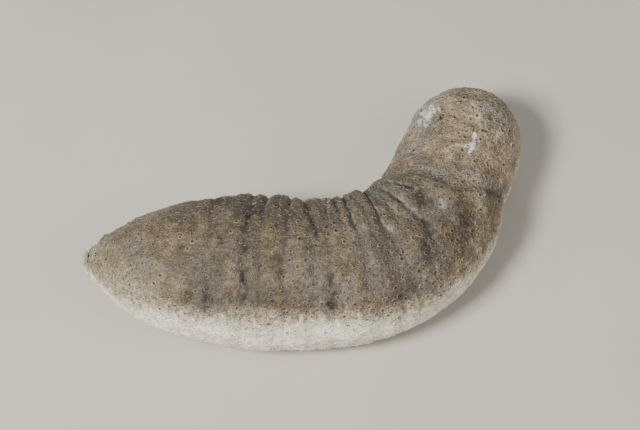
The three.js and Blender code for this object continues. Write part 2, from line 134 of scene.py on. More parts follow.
# Dark bars on the back: turns about the spine, places along it, half width, strength and brokenness
BARS = (
    ((26, 34, 58), (53.1, 53, 52.8), 1.1, 0.8, 1),
    ((20, 45, 67, 87, 100, 123), (66.6, 68.3, 67.6, 66.9, 67.1, 68.5), 1.2, 0.9, 1),
    ((92, 108, 118, 137), (95.3, 94.4, 92.2, 90.3), 1.1, 0.85, 0.9),
    ((24, 44, 71), (99.9, 100.3, 100.4), 1.2, 0.8, 0.9),
    ((30, 64, 90), (119.5, 119.7, 120.7), 3.2, 0.5, 0.6),
    ((46, 77, 100), (131.5, 138.8, 148), 3, 0.6, 0.5),
    ((36, 70), (144.5, 154), 3.6, 0.55, 0.5),
    ((103, 121), (148.4, 148.2), 0.75, 1, 0.2),
    ((18, 45), (171, 165), 3.4, 0.5, 0.4),
    ((55, 120), (160, 156), 1.8, 0.35, 0.6),
    ((130, 152), (53, 54), 1.2, 0.7, 0.7),
    ((126, 155), (77, 79), 1.2, 0.7, 0.7),
    ((60, 84), (30, 31), 1, 0.35, 0.9),
    ((60, 120), (82, 84), 1.4, 0.45, 0.9),
    ((100, 150), (106, 108), 1.6, 0.45, 0.8),
    ((30, 60), (84, 85), 1.2, 0.4, 1),
)
BAR_WANDER, BAR_END_TURNS = (0, 1.1, 4, 100), 3
BAR_GAPS = ((0.35, 1.2, 3.4, 101), (0, 0.9, 1.3, 102))
SEEDS_IN_BAR = 3
BAR_HALO, BAR_HALO_WIDTH, BAR_HALO_LOSS = 0.4, 2.4, 0.5
BAR_LOST_ON_WHITE = 0.75
# Single dark spots: turn, place, radius and strength
SPOTS = (
    (115, 189.8, 1.4, 0.95),
    (39, 100.3, 1.5, 0.95),
    (55, 100.2, 1.1, 0.7),
    (46, 67.9, 1.3, 0.8),
    (27, 66.8, 1.5, 0.7),
    (101, 67.2, 1.2, 0.7),
    (31, 53.1, 1.3, 0.75),
    (122, 69, 1.2, 0.7),
    (125, 91.5, 1.7, 0.95),
    (86, 120.7, 1.3, 0.6),
    (96, 95.6, 1, 0.5),
    (87, 147.8, 2.2, 0.55),
    (84, 172, 1.6, 0.35),
)
SPOT_CORE, SPOT_FADE, SPOT_RAG = 0.35, 0.95, (0, 0.7, 1.8, 360)
# Painted shade: dark lines that run into the vent, standing in for the shade in its crumpled creases
VENT_CREASE_SHADE_REACH, VENT_CREASE_SHADE_STRENGTH, VENT_CREASE_SHADE = 16, 0.9, (0, 2.4, 3.4, 150)
VENT_CREASE_SHADE_WIDTH = 0.6

# Pale scratches and the arms of the pale star: turn and place of each end, half width and strength
SCRATCHES = (
    (77, 186.4, 75, 182, 0.75, 1),
    (69, 184.5, 75, 182, 0.45, 0.8),
    (82, 178.4, 75, 181.4, 0.6, 0.9),
    (75, 176.2, 74, 182, 0.85, 1),
    (90, 177.7, 82, 178.4, 0.6, 0.5),
    (79, 196.5, 79, 194.8, 0.5, 0.6),
    (79, 194.8, 75, 191.5, 0.25, 0.6),
    (75, 191.5, 67, 188.3, 0.4, 0.85),
    (89, 189, 84, 185.4, 0.25, 0.45),
    (84, 185.4, 83, 182.3, 0.22, 0.35),
    (91, 201.1, 79, 195.8, 0.3, 0.4),
    (124, 195.5, 119, 193.5, 0.4, 0.5),
)
SCRATCH_CORE, SCRATCH_FADE = 0.3, 0.9
SCRATCH_RAGGED, SCRATCH_RAG_SIZE, SCRATCH_SEED = 0.45, 1.6, 340
# Pale patches: turn, place, radius and strength
PATCHES = (
    (131, 191.3, 2.7, 0.85),
    (138, 188.2, 1.7, 0.6),
    (127, 187, 1.5, 0.55),
    (135, 195.4, 2.2, 0.7),
    (141, 192.6, 1.4, 0.6),
    (145, 197.5, 1.3, 0.5),
    (53, 192.2, 1.5, 0.25),
    (60, 184, 1.2, 0.25),
    (76, 148.5, 1.7, 0.2),
    (79, 79.4, 1.3, 0.22),
)
PATCH_RAG = (0, 0.9, 1.8, 380)
# Radius of the body where turns are measured as widths
SECTION_RADIUS = 26

# Edge of the white flank, by place along the spine: turn in degrees on the outer side
WHITE_EDGE_PLACES = (0, 14, 35, 90, 107, 118, 142, 160, LENGTH)
WHITE_EDGE_TURNS = (4, 14, 20, 25, 22, 14, 10, 2, -6)
WHITE_EDGE_SOFTNESS, WHITE_EDGE_INNER_DROP = 20, 2
WHITE_EDGE_WANDER = (0, 3.5, 13, 210)

# Pale hind end: how far it reaches on top and, low on the flank, where its fade starts and how long that is
HIND_TOP_REACH = 15
HIND_LOW_PLACES, HIND_LOW_TURNS = (22, 26), (80, 60)

# Tone of the back, by place along the spine
TONE_PLACES = (0, 12, 30, 48, 70, 90, 118, 138, 154, 168, 200, LENGTH)
TONES = (0.86, 0.86, 0.76, 0.57, 0.53, 0.68, 0.77, 0.77, 0.9, 1.15, 1.48, 1.38)
# Painted light and shade on the sides, each with the place or turn where it starts and how far it takes to
# come in full: painted shade darkens the inner side, painted light brightens the outer side in the bend,
# and the sides of the front segment are paler and greyer, partly in their own colour and partly by painted
# light
INNER_SHADE, INNER_SHADE_TURNS = 0.15, (85, 45)
OUTER_LIGHT, OUTER_LIGHT_PLACES, OUTER_LIGHT_TURNS = 0.35, (100, 40), (55, 40)
FRONT_PLACES, FRONT_INNER_TURNS, FRONT_OUTER_TURNS = (160, 20), (105, 35), (45, 35)
FRONT_OUTER_SHARE, FRONT_SIDE_LIGHT, FRONT_SIDE_GREY = 0.8, 0.35, 0.3
# Blue-grey painted shade: full in grooves this deep, and its amount and turns on the inner side
GROOVE_SHADE_DEPTH = 1.6
INNER_GREY_SHADE, INNER_GREY_SHADE_TURNS = 0.45, (95, 45)

# Mesh of the skin
SKIN_STEP = 0.72
SKIN_COLUMNS = 300
FRONT_CAP_RINGS = 52
HIND_PLACES = (0.08, 0.25, 0.5, 0.85, 1.3, 1.85, 2.5)
NORMAL_STEP, NORMAL_TURN = 0.25, 0.01
TINY = 1e-6

# Scattered pieces start and stop this far from the ends
SCATTER_FROM, SCATTER_END_GAP = 1.5, 0.8

# Pores: name, sides, height, radius, how much painted shade darkens their pit, tries, least spacing and
# seed
PORE_KINDS = (
    ("pores_large", 10, 0.26, 0.56, 1, 5200, 2.9, 5),
    ("pores_middle", 8, 0.2, 0.38, 1, 13000, 1.6, 6),
    ("pores_small", 5, 0.14, 0.22, 0.95, 24000, 1, 16),
)
PORE_DRAW_SEED = 50
# Rings of a pore: radius and height as shares, how pale it is there, and how much painted shade darkens it
# there
PORE_PROFILE = ((1.65, -0.6, 0, 0), (1.1, 1, 0.9, 0), (0.72, 0.95, 0.3, 0.85), (0, 0.65, 0, 1))
PORES_FROM, PORES_TO = -22, 202
PORES_LEFT_ON_WHITE, PORE_SHRINK_ON_WHITE, PORE_FADE_ON_WHITE = 0.42, 0.3, 0.3
PORE_LEAST_SIZE, PORE_SIZE_SWING = 0.6, 0.8
PORE_PIT_SHADES, PORE_PALES, PORE_STRETCHES = (0.7, 1), (0.1, 1), (0.8, 1.25)

# Tube feet on the sole
FOOT_TRIES = 9000
FOOT_SPACING = 2.2
FOOT_TURNS = (-150, -30)
FOOT_RADIUS, FOOT_SIZES = 0.68, (0.8, 1.15)
FOOT_LEAN = 0.25
FOOT_SINK = 1
FOOT_TOP_LIMIT = 2.7
FOOT_SIDES = 8
FOOT_SEED = 7
# Foot from root to tip: its waist as a share of its height, its disc's heights, and the radii as shares
FOOT_WAIST, FOOT_DISC_HEIGHTS = 0.55, (0.28, 0.06)
FOOT_RADII = (1.3, 1.2, 0.85, 0.8, 1.05)
FOOT_FLOOR_GAP, FOOT_TIP_HEIGHT = 0.02, 0.5

# Vent
VENT_RIM_RADIUS = 2.6
VENT_GROUPS = 5
# Rings of the pit as depth and radius, the depth of its end, and waves of its wall as height and number
VENT_PIT = ((3.6, 0.7), (2.4, 1.1), (1.2, 1.5), (0.5, 1.9))
VENT_PIT_DEPTH = 4
VENT_WAVES = ((0.16, VENT_GROUPS), (0.08, 13))
PAPILLAE_IN_GROUP = 4
PAPILLA_SPACING, PAPILLA_JITTER = 0.24, 0.06
PAPILLA_LENGTHS, PAPILLA_CURL = (0.3, 0.8), 0.5
PAPILLA_ROOT, PAPILLA_INSET = 1.2, 0.2
PAPILLA_RADII, PAPILLA_SIDES = (0.75, 0.75, 0.7, 0.62, 0.5, 0.3), 8
PAPILLA_SEED = 8

# Mouth
MOUTH_BEFORE_TIP = 6.8
MOUTH_HEIGHT = 9
MOUTH_TILT = math.radians(57)
MOUTH_RADIUS = 7.2
# Cup of the skin round the mouth
CUP_SHARE, CUP_EDGE, CUP_DEPTH = 0.75, 2.5, 1.6
CUP_BEHIND, CUP_EASE = 6, 3
# Rings of the mouth's disc as radius and height, and the depth of its middle
MOUTH_RINGS = (
    (7.6, -1.8), (7.3, -0.9), (6.9, -0.2), (6.2, 0.15), (5.2, 0.0), (4.2, -0.25), (3.3, -0.2),
    (2.6, 0.25), (2.0, 0.5), (1.4, 0.35), (0.9, -0.2), (0.5, -0.9), (0.25, -1.4),
)
MOUTH_PIT_DEPTH = 1.7
MOUTH_SIDES = 96
MOUTH_RAY_HEIGHT, MOUTH_RAY_FADE = 0.22, 3
MOUTH_WAVE_HEIGHT, MOUTH_WAVES = 0.12, 11
MOUTH_RIM, MOUTH_RIM_SHARE = 6.5, 0.3
MOUTH_DARK_REACH = 3
MOUTH_UV_SPAN = 2.2

# Tentacles, by turns long and short
TENTACLES = 20
TENTACLE_LENGTHS, TENTACLE_SIZES = (3.9, 2.7), (0.9, 1.1)
TENTACLE_SPLAYS = (math.radians(34), math.radians(14))
TENTACLE_ROOT, TENTACLE_ROOT_STEP, TENTACLE_SUNK = 5.6, 1.2, -0.5
TENTACLE_RADII, TENTACLE_SIDES = (0.8, 0.78, 0.72, 0.66, 0.62, 0.62, 0.6), 10
TENTACLE_JITTER, TENTACLE_CURL, TENTACLE_TWIST = 0.15, 0.5, 0.3
TENTACLE_PATCH, TENTACLE_PATCH_STEP = 0.9, 0.004
TENTACLE_SEED = 9
# Fingers of a tentacle's shield: number, reach outwards and rise in the outer ring and in the inner one
FINGER_COUNTS = (11, 5)
FINGER_REACHES = ((1.0, 1.3), (0.35, 0.5))
FINGER_RISES = ((0.15, 0.4), (0.55, 0.75))
FINGER_RADII, FINGER_SIDES = (0.34, 0.28, 0.24, 0.17), 6
FINGER_JITTER, FINGER_ROOT, FINGER_ARCH = 0.12, 0.25, 0.1
FINGER_BEND, FINGER_BEND_RISE, FINGER_PALE_FROM = 0.55, 0.15, 1.2

# Tubes: how far a closing point stands out as a share of the radius, and a direction that no tube runs in
TUBE_END = 0.35
TUBE_HELPER = (0.31, 0.57, 0.76)
# Patches of the small pieces on the unwrap: half their size, and their least distance from its edge
PATCH_REACH, PATCH_MARGIN = 0.0015, 0.002

# Colours
DARK_BROWN = (0.062, 0.047, 0.028)
MID_BROWN = (0.127, 0.095, 0.055)
WARM_BROWN = (0.19, 0.145, 0.088)
BEIGE = (0.32, 0.254, 0.165)
BLUE_GREY = (0.118, 0.112, 0.1)
HIND_PALE = (0.4, 0.345, 0.245)
FRONT_PINK = (0.3, 0.228, 0.175)
FLANK_WHITE = (0.94, 0.9, 0.77)
FLANK_GREY = (0.5, 0.47, 0.4)
# Dark of the bars and spots, and of the painted shade in the creases round the vent
DARK_MARKS_AND_SHADE = (0.012, 0.01, 0.01)
SCUFF_PALE = (0.78, 0.76, 0.72)
EDGE_BEIGE = (0.46, 0.39, 0.28)
RING_PALE = (0.5, 0.41, 0.29)
# Painted shade in the pits of the pores and inside the vent
PIT_SHADE_DARK = (0.014, 0.01, 0.007)
FOOT_WHITE, FOOT_TIP = (0.86, 0.83, 0.76), (0.62, 0.57, 0.48)
VENT_BROWN, VENT_PALE = (0.22, 0.19, 0.14), (0.38, 0.33, 0.26)
MOUTH_BROWN, MOUTH_DARK = (0.34, 0.29, 0.22), (0.13, 0.1, 0.075)
TENTACLE_BROWN, TENTACLE_PALE = (0.3, 0.25, 0.18), (0.55, 0.49, 0.39)
FLOOR_LOW, FLOOR_HIGH = (0.46, 0.435, 0.385), (0.49, 0.465, 0.41)

# Noises of the skin's colour, roughness and bumps: size in mm, detail and roughness
MOTTLE, CLOUDS, BLUSH = (7, 8, 0.7), (15, 5, 0.65), (21, 3, 0.6)
SPECKS, DUST = (1.4, 3, 0.75), (9, 6, 0.7)
RAGGED_EDGE, SCUFF_DUST, WETNESS = (2.6, 5, 0.7), (1.2, 4, 0.7), (5, 4, 0.6)
COARSE_BUMP, FINE_BUMP = (2.6, 5, 0.65), (0.8, 3, 0.7)
FLOOR_CLOUDS = (90, 3, 0.5)
# Amounts of the layers laid over the mottled brown; the groove layer is blue-grey painted shade in the
# grooves and on the inner side, with the front segment's own grey
CLOUD_AMOUNT, BLUSH_AMOUNT, GROOVE_SHADE_AMOUNT, HIND_AMOUNT = 0.55, 0.5, 0.6, 0.7
RING_AMOUNT, RAGGED_AMOUNT = 0.45, 0.9
# Grain of the back and of the white flank: size in mm, darkest and palest factor, and strength
BACK_GRAIN = ((2.6, 0.72, 1.3, 0.7), (1.1, 0.6, 1.45, 0.75), (0.55, 0.5, 1.55, 0.75))
FLANK_GRAIN = ((1.1, 0.72, 1.1, 0.8), (0.55, 0.65, 1.15, 0.8))

# Lights, in metres: name, place, size, power and colour
LIGHTS = (
    ("key", (-0.6, -0.5, 1.0), 0.35, 27, (1, 0.985, 0.95)),
    ("fill", (0.9, -0.4, 0.9), 1.0, 7, (1, 0.99, 0.97)),
    ("rear", (0.1, 1.0, 0.9), 1.0, 3, (0.96, 0.98, 1)),
)
LIGHT_TARGET = (0, 0, 0.02)
SKY_COLOUR, SKY_STRENGTH = (0.9, 0.93, 0.95, 1), 0.22
FLOOR_REACH = 2.5

# Camera, from the photo's viewing angle
VIEW_TARGET = (7, -0.4, 20)
VIEW_ELEVATION = math.radians(60)
VIEW_DISTANCE = 1000
VIEW_LENS = 135
SENSOR_WIDTH = 36
CLIP_START = 0.01


# Numbers
LATTICE_STEPS = (374761393, 668265263, 1442695041, 974634777)
LATTICE_MIX, LATTICE_MASK = 1274126177, 0xFFFFFFFF


def smooth(value):
    t = np.clip(value, 0, 1)
    return t * t * (3 - 2 * t)


def rising(value, start, span):
    """From 0 at the start to 1 a span later."""
    return smooth((value - start) / span)


def falling(value, end, span):
    """From 1 a span before the end to 0 at the end."""
    return smooth((end - value) / span)


def lattice(x, y, z, seed):
    """A repeatable value from -1 to 1 at each whole-number place."""
    a, b, c, d = LATTICE_STEPS
    mixed_bits = (x * a + y * b + z * c + seed * d) & LATTICE_MASK
    mixed_bits = ((mixed_bits ^ (mixed_bits >> 13)) * LATTICE_MIX) & LATTICE_MASK
    return ((mixed_bits ^ (mixed_bits >> 16)) & 0xFFFF) / 32767.5 - 1


def noise(points, size, seed):
    """Smooth noise from -1 to 1 with lumps of about the given size."""
    places = np.asarray(points, float) / size
    cells = np.floor(places).astype(np.int64)
    share = smooth(places - cells)
    total = 0
    for corner in range(8):
        step = np.array([corner & 1, corner >> 1 & 1, corner >> 2 & 1])
        weight = np.prod(np.where(step, share, 1 - share), axis=-1)
        at = cells + step
        total = total + weight * lattice(at[..., 0], at[..., 1], at[..., 2], seed)
    return total


def rough_noise(points, size, seed, octaves=3):
    return sum(noise(points, size / 2 ** k, seed + k) / 2 ** k for k in range(octaves))


def uneven(points, kind, number=0, octaves=1):
    """The noise of a given mean, swing, size and seed; the number tells marks of one list apart."""
    mean, swing, size, seed = kind
    return mean + swing * rough_noise(points, size, seed + number, octaves)


def rough(points, kind, number=0):
    return uneven(points, kind, number, 3)


# The spine, and the body's shape around it
def heading(at):
    tail = TAIL_TURN * (1 - smooth(at / TAIL_TURN_END))
    turn = FRONT_TURN * smooth((at - TURN_START) / (TURN_END - TURN_START))
    return np.radians(REAR_HEADING - tail + turn)


def spine_points():
    middles = np.arange(SPINE_STEP / 2, LENGTH, SPINE_STEP)
    angles = heading(middles)
    steps = np.stack([np.cos(angles), np.sin(angles)], -1) * SPINE_STEP
    return np.vstack([[HIND_TIP], HIND_TIP + np.cumsum(steps, axis=0)])


SPINE = spine_points()


def spine_frame(at):
    """The spine's point, forward direction and right direction at each place."""
    index = np.clip((at / SPINE_STEP).astype(int), 0, len(SPINE) - 2)
    angle = heading(at)
    forward = np.stack([np.cos(angle), np.sin(angle)], -1)
    right = np.stack([forward[..., 1], -forward[..., 0]], -1)
    return SPINE[index] + forward * (at - index * SPINE_STEP)[..., None], forward, right


def along(at, column):
    """A smooth curve through one size of the stations."""
    places, sizes = STATIONS[:, 0], STATIONS[:, column]
    slopes = np.gradient(sizes, places)
    slopes[1:-1] = (sizes[2:] - sizes[:-2]) / (places[2:] - places[:-2])
    i = np.clip(np.searchsorted(places, at, side="right") - 1, 0, len(places) - 2)
    span = places[i + 1] - places[i]
    t = (at - places[i]) / span
    from_sizes = (2 * t**3 - 3 * t**2 + 1) * sizes[i] + (3 * t**2 - 2 * t**3) * sizes[i + 1]
    from_slopes = (t**3 - 2 * t**2 + t) * slopes[i] + (t**3 - t**2) * slopes[i + 1]
    return from_sizes + from_slopes * span


def end_scale(at):
    front = np.clip((at - (LENGTH - FRONT_CAP)) / FRONT_CAP, 0, 1)
    hind = np.clip(1 - at / HIND_CAP, 0, 1)
    return (1 - front**FRONT_CAP_POWER) ** (1 / FRONT_CAP_POWER) * np.sqrt(1 - hind * hind)


def plain_point(at, angle, lift=0):
    """A point of the body with no folds, raised by lift along the section's normal."""
    side, rise = np.cos(angle), np.sin(angle)
    half_width, middle = along(at, HALF_WIDTH), along(at, MIDDLE)
    half_height = np.where(rise >= 0, along(at, TOP) - middle, middle - along(at, BOTTOM))
    normal = np.stack([side / half_width, rise / half_height], -1)
    normal /= np.linalg.norm(normal, axis=-1, keepdims=True)
    scale = end_scale(at)
    across = half_width * scale * side + lift * normal[..., 0]
    over = middle + half_height * scale * rise + lift * normal[..., 1] - SOLE_HEIGHT
    height = SOLE_HEIGHT + (over + np.hypot(over, SOLE_SOFTNESS)) / 2
    centre, _, right = spine_frame(at)
    return np.concatenate([centre + right * across[..., None], height[..., None]], -1)


def fold_depth(at, angle, points):
    """How deep the skin lies in the folds, which wander and break up along their lines."""
    side, rise = np.cos(angle), np.sin(angle)
    inner, outer, back = np.maximum(-side, 0) ** 2, np.maximum(side, 0) ** 2, np.maximum(rise, 0) ** 2
    inner_lean, outer_lean = smooth(-side * FOLD_LEAN_REACH), smooth(side * FOLD_LEAN_REACH)
    wander = uneven(points, FOLD_WANDER)
    total = np.zeros_like(at)
    for number, (place, in_depth, back_depth, out_depth, in_lean, out_lean) in enumerate(FOLDS):
        line = place + in_lean * inner_lean + out_lean * outer_lean + wander
        depth = in_depth * inner + back_depth * back + out_depth * outer
        depth = depth * uneven(points, FOLD_SWING, number)
        width = FOLD_WIDTH * (FOLD_NARROWEST + FOLD_WIDENING * depth)
        total += depth * np.exp(-np.abs((at - line) / width) ** FOLD_SHARPNESS)
    return total * (1 - FOLD_LOST_BELOW * smooth(-rise / FOLD_LOST_BY))


def line_depth(at, turn, points, number):
    """How much a place lies in one crease, how full the crease is there, and how far ahead the place is."""
    turns, places, width, _ = CREASES[number]
    centre = np.interp(turn, turns, places) + uneven(points, CREASE_WANDER, number)
    ends = rising(turn, turns[0], CREASE_END_TURNS) * falling(turn, turns[-1], CREASE_END_TURNS)
    return ends * np.exp(-np.abs((at - centre) / width) ** CREASE_SHARPNESS), ends, at - centre


def crease_depth(at, turn, points):
    total = np.zeros_like(at)
    for number, crease in enumerate(CREASES):
        total += crease[3] * line_depth(at, turn, points, number)[0]
    return total


def sleeve_depth(at, turn):
    edge = np.interp(np.where(turn < 0, 180 * (turn < -90), turn), SLEEVE_TURNS, SLEEVE_PLACES)
    past = np.maximum(at - edge, 0)
    return SLEEVE_DEPTH * smooth(past / SLEEVE_RISE) * np.exp(-past / SLEEVE_FADE)


def turn_of(angle):
    """The turn about the spine in degrees, from -180 to 180."""
    return (np.degrees(angle) + 180) % 360 - 180


def vent_relief(at, angle, points):
    """Puckers that run into the vent, and crumples round it."""
    around = np.stack([np.cos(angle), np.sin(angle), at / PUCKER_LENGTH], -1)
    pucker = 1 - np.abs(uneven(around, PUCKER)) - PUCKER_LEVEL
    return (1 - smooth(at / VENT_REACH)) * (PUCKER_HEIGHT * pucker + rough(points, CRUMPLE))


def relief(at, angle, points):
    """Height of the fine relief: folds, cross wrinkles, lumps and the puckers round the vent."""
    rise = np.sin(angle)
    turn = turn_of(angle)
    upper = 1 - CALM_BELOW * smooth(-rise / CALM_BY)
    unrolled = np.stack([at, angle * UNROLLED_RADIUS, np.zeros_like(at)], -1)
    wrinkles = 0
    for size, squeeze, depth, power, seed in WRINKLES:
        lines = 1 - np.abs(noise(unrolled * [1, squeeze, 1], size, seed))
        wrinkles = wrinkles + depth * lines**power
    bend = np.exp(-(((at - BEND_MIDDLE) / BEND_REACH) ** 2)) * smooth(BEND_SIDE - np.cos(angle))
    lumps = sum(rough(points, lump) for lump in LUMPS)
    sharp_grooves = (crease_depth(at, turn, points) + sleeve_depth(at, turn)) * upper
    grooves = fold_depth(at, angle, points) + sharp_grooves
    wrinkles = wrinkles * upper * (WRINKLES_PLAIN + WRINKLES_IN_BEND * bend)
    return vent_relief(at, angle, points) - grooves - wrinkles + lumps * upper


def mouth_frame():
    centre, forward, right = spine_frame(np.array([LENGTH - MOUTH_BEFORE_TIP]))
    middle = np.array([*centre[0], MOUTH_HEIGHT])
    facing = np.array([*(forward[0] * math.cos(MOUTH_TILT)), -math.sin(MOUTH_TILT)])
    across = np.array([*right[0], 0])
    return middle, facing, across, np.cross(facing, across)


def mouth_dent(points):
    """The skin's shallow cup round the mouth."""
    middle, facing, _, _ = mouth_frame()
    away = points - middle
    depth = away @ facing
    radius = np.linalg.norm(away - depth[..., None] * facing, axis=-1)
    cup = (1 - rising(radius, MOUTH_RADIUS * CUP_SHARE, CUP_EDGE)) * smooth((depth + CUP_BEHIND) / CUP_EASE)
    return points - (cup * np.maximum(depth + CUP_DEPTH, 0))[..., None] * facing


def skin_point(at, angle, lift=0):
    smooth_points = plain_point(at, angle)
    ease = smooth(end_scale(at) * END_EASE)
    height = relief(at, angle, smooth_points) * ease
    return mouth_dent(plain_point(at, angle, height + lift))


def skin_normal(at, angle):
    ahead = skin_point(at + NORMAL_STEP, angle) - skin_point(at - NORMAL_STEP, angle)
    around = skin_point(at, angle + NORMAL_TURN) - skin_point(at, angle - NORMAL_TURN)
    normal = np.cross(ahead, around)
    normal /= np.linalg.norm(normal, axis=-1, keepdims=True)
    outward = plain_point(at, angle, 1) - plain_point(at, angle)
    flip = np.where(np.sum(normal * outward, -1) < 0, -1, 1)
    return normal * flip[..., None]


# Markings, as amounts from 0 to 1 at each place of the skin
def bar_line(at, turn, points, number):
    """One dark bar, broken up by noise, with a soft halo."""
    turns, places, width, strength, broken = BARS[number]
    seeds_before = SEEDS_IN_BAR * number
    centre = np.interp(turn, turns, places) + uneven(points, BAR_WANDER, seeds_before)
    hind_end = rising(turn + BAR_END_TURNS, turns[0], 2 * BAR_END_TURNS)
    front_end = falling(turn - BAR_END_TURNS, turns[-1], 2 * BAR_END_TURNS)
    gaps = smooth(sum(uneven(points, gap, seeds_before) for gap in BAR_GAPS))
    across = np.abs((at - centre) / width)
    line = (1 - broken + broken * gaps) * np.exp(-(across**2))
    halo = BAR_HALO * np.exp(-((across / BAR_HALO_WIDTH) ** 2)) * (1 - BAR_HALO_LOSS * broken)
    return strength * hind_end * front_end * (line + halo)


def spot_amount(at, turn, points, spots, rag):
    total = np.zeros_like(at)
    for number, (where, place, radius, strength) in enumerate(spots):
        away = np.hypot(at - place, np.radians(turn - where) * SECTION_RADIUS) / radius
        away = away + rough(points, rag, number)
        total = np.maximum(total, strength * (1 - rising(away, SPOT_CORE, SPOT_FADE)))
    return total


def scratch_amount(at, turn, points):
    total = np.zeros_like(at)
    for number, (turn_a, at_a, turn_b, at_b, width, strength) in enumerate(SCRATCHES):
        over = np.radians(turn - turn_a) * SECTION_RADIUS
        along_at, along_over = at_b - at_a, math.radians(turn_b - turn_a) * SECTION_RADIUS
        length = math.hypot(along_at, along_over)
        share = np.clip(((at - at_a) * along_at + over * along_over) / length**2, 0, 1)
        away = np.hypot(at - at_a - share * along_at, over - share * along_over) / width
        away = away + SCRATCH_RAGGED * rough_noise(points, SCRATCH_RAG_SIZE + width, SCRATCH_SEED + number)
        total = np.maximum(total, strength * (1 - rising(away, SCRATCH_CORE, SCRATCH_FADE)))
    return total


def bar_and_vent_shade_amount(at, turn, points):
    bars = spot_amount(at, turn, points, SPOTS, SPOT_RAG)
    for number in range(len(BARS)):
        bars = np.maximum(bars, bar_line(at, turn, points, number))
    # Painted shade: dark lines into the vent for the shade in its creases
    vent_crease_shade = smooth(VENT_CREASE_SHADE_WIDTH - np.abs(uneven(points, VENT_CREASE_SHADE)))
    return np.maximum(bars, VENT_CREASE_SHADE_STRENGTH * (1 - smooth(at / VENT_CREASE_SHADE_REACH)) * vent_crease_shade)


def scuff_amount(at, turn, points):
    patches = spot_amount(at, turn, points, PATCHES, PATCH_RAG)
    marks = np.maximum(scratch_amount(at, turn, points), patches)
    for number in range(len(CREASES)):
        _, ends, ahead = line_depth(at, turn, points, number)
        lip = np.exp(-(((ahead - LIP_SHIFT) / LIP_WIDTH) ** 2))
        marks = np.maximum(marks, LIP_STRENGTH * ends * smooth(uneven(points, LIP_GAPS, number)) * lip)
    return marks


def white_amount(at, turn, points):
    edge = np.interp(at, WHITE_EDGE_PLACES, WHITE_EDGE_TURNS)
    inner_side = np.abs(turn) > 90
    folded = np.where(inner_side, 180 - np.abs(turn), np.abs(turn)) * np.where(turn < 0, -1, 1)
    edge = np.where(inner_side, edge - WHITE_EDGE_INNER_DROP, edge) + rough(points, WHITE_EDGE_WANDER)
    return smooth((edge + WHITE_EDGE_SOFTNESS - folded) / (2 * WHITE_EDGE_SOFTNESS))


def hind_amount(at, turn):
    """The pale hind end, which reaches further forward low on the flank than on top."""
    height_turn = np.where(np.abs(turn) > 90, 180 - np.abs(turn), turn)
    low = falling(height_turn, *HIND_LOW_TURNS) * (1 - rising(at, *HIND_LOW_PLACES))
    return np.maximum(1 - smooth(at / HIND_TOP_REACH), low)


def markings(at, angle, points):
    turn = turn_of(angle)
    white = white_amount(at, turn, points)
    # Painted shade on the inner side and painted light on the outer side in the bend; the front segment's
    # sides are paler partly in their own colour and partly by painted light
    inner_shade = INNER_SHADE * rising(turn, *INNER_SHADE_TURNS)
    outer_light = OUTER_LIGHT * rising(at, *OUTER_LIGHT_PLACES) * falling(turn, *OUTER_LIGHT_TURNS)
    front_flanks = rising(turn, *FRONT_INNER_TURNS) + FRONT_OUTER_SHARE * falling(turn, *FRONT_OUTER_TURNS)
    front_side = rising(at, *FRONT_PLACES) * front_flanks
    # Blue-grey painted shade in the grooves and on the inner side, and the front segment's own grey
    grooves = (fold_depth(at, angle, points) + crease_depth(at, turn, points)) / GROOVE_SHADE_DEPTH
    grey = grooves + INNER_GREY_SHADE * rising(turn, *INNER_GREY_SHADE_TURNS) + FRONT_SIDE_GREY * front_side
    shade = 1 - inner_shade + outer_light + FRONT_SIDE_LIGHT * front_side
    return {
        "white": white,
        # Dark bars and spots, and painted shade in the creases round the vent
        "bar": bar_and_vent_shade_amount(at, turn, points) * (1 - BAR_LOST_ON_WHITE * white),
        "scuff": scuff_amount(at, turn, points),
        "groove_shade_and_grey": np.clip(grey, 0, 1),
        "hind": hind_amount(at, turn),
        # Tone along the spine, times the painted light and shade of the sides
        "tone": np.interp(at, TONE_PLACES, TONES) * shade,
    }


# Meshes
def unwrapped(at, angle):
    """The skin's unwrap: along the spine and round it from the seam under the sole."""
    return np.stack([np.asarray(at) / LENGTH, (np.asarray(angle) + math.pi / 2) / (2 * math.pi)], -1)


def mesh_object(name, points, faces, face_uvs, amounts=None):
    mesh = bpy.data.meshes.new(name)
    mesh.from_pydata((np.asarray(points) * MM).tolist(), [], faces)
    layer = mesh.uv_layers.new(name="OFBake")
    layer.data.foreach_set("uv", np.asarray(face_uvs, np.float32).ravel())
    for key, values in (amounts or {}).items():
        attribute = mesh.attributes.new(key, "FLOAT", "POINT")
        attribute.data.foreach_set("value", np.asarray(values, np.float32).ravel())
    mesh.polygons.foreach_set("use_smooth", [True] * len(mesh.polygons))
    mesh.validate()
    mesh.update()
    piece = bpy.data.objects.new(name, mesh)
    bpy.context.collection.objects.link(piece)
    return piece


class Pieces:
    """Many small pieces gathered for one joined mesh."""

    def __init__(self):
        self.points, self.faces, self.uvs, self.amounts, self.count = [], [], [], {}, 0

    def add(self, points, faces, uvs, **amounts):
        points = np.asarray(points)
        self.points.append(points)
        self.faces.extend([[self.count + i for i in face] for face in faces])
        corner_uvs = np.broadcast_to(np.asarray(uvs), (len(points), 2))
        self.uvs.extend(corner_uvs[i] for face in faces for i in face)
        for key, values in amounts.items():
            self.amounts.setdefault(key, []).append(np.broadcast_to(values, len(points)))
        self.count += len(points)

    def joined(self, name):
        amounts = {key: np.concatenate(values) for key, values in self.amounts.items()}
        return mesh_object(name, np.concatenate(self.points), self.faces, self.uvs, amounts)


def skin_places():
    body = np.arange(HIND_PLACES[-1] + SKIN_STEP, LENGTH - FRONT_CAP, SKIN_STEP)
    turns = np.linspace(0, math.pi / 2, FRONT_CAP_RINGS + 1)[:-1]
    return np.concatenate([HIND_PLACES, body, LENGTH - FRONT_CAP + FRONT_CAP * np.sin(turns)])


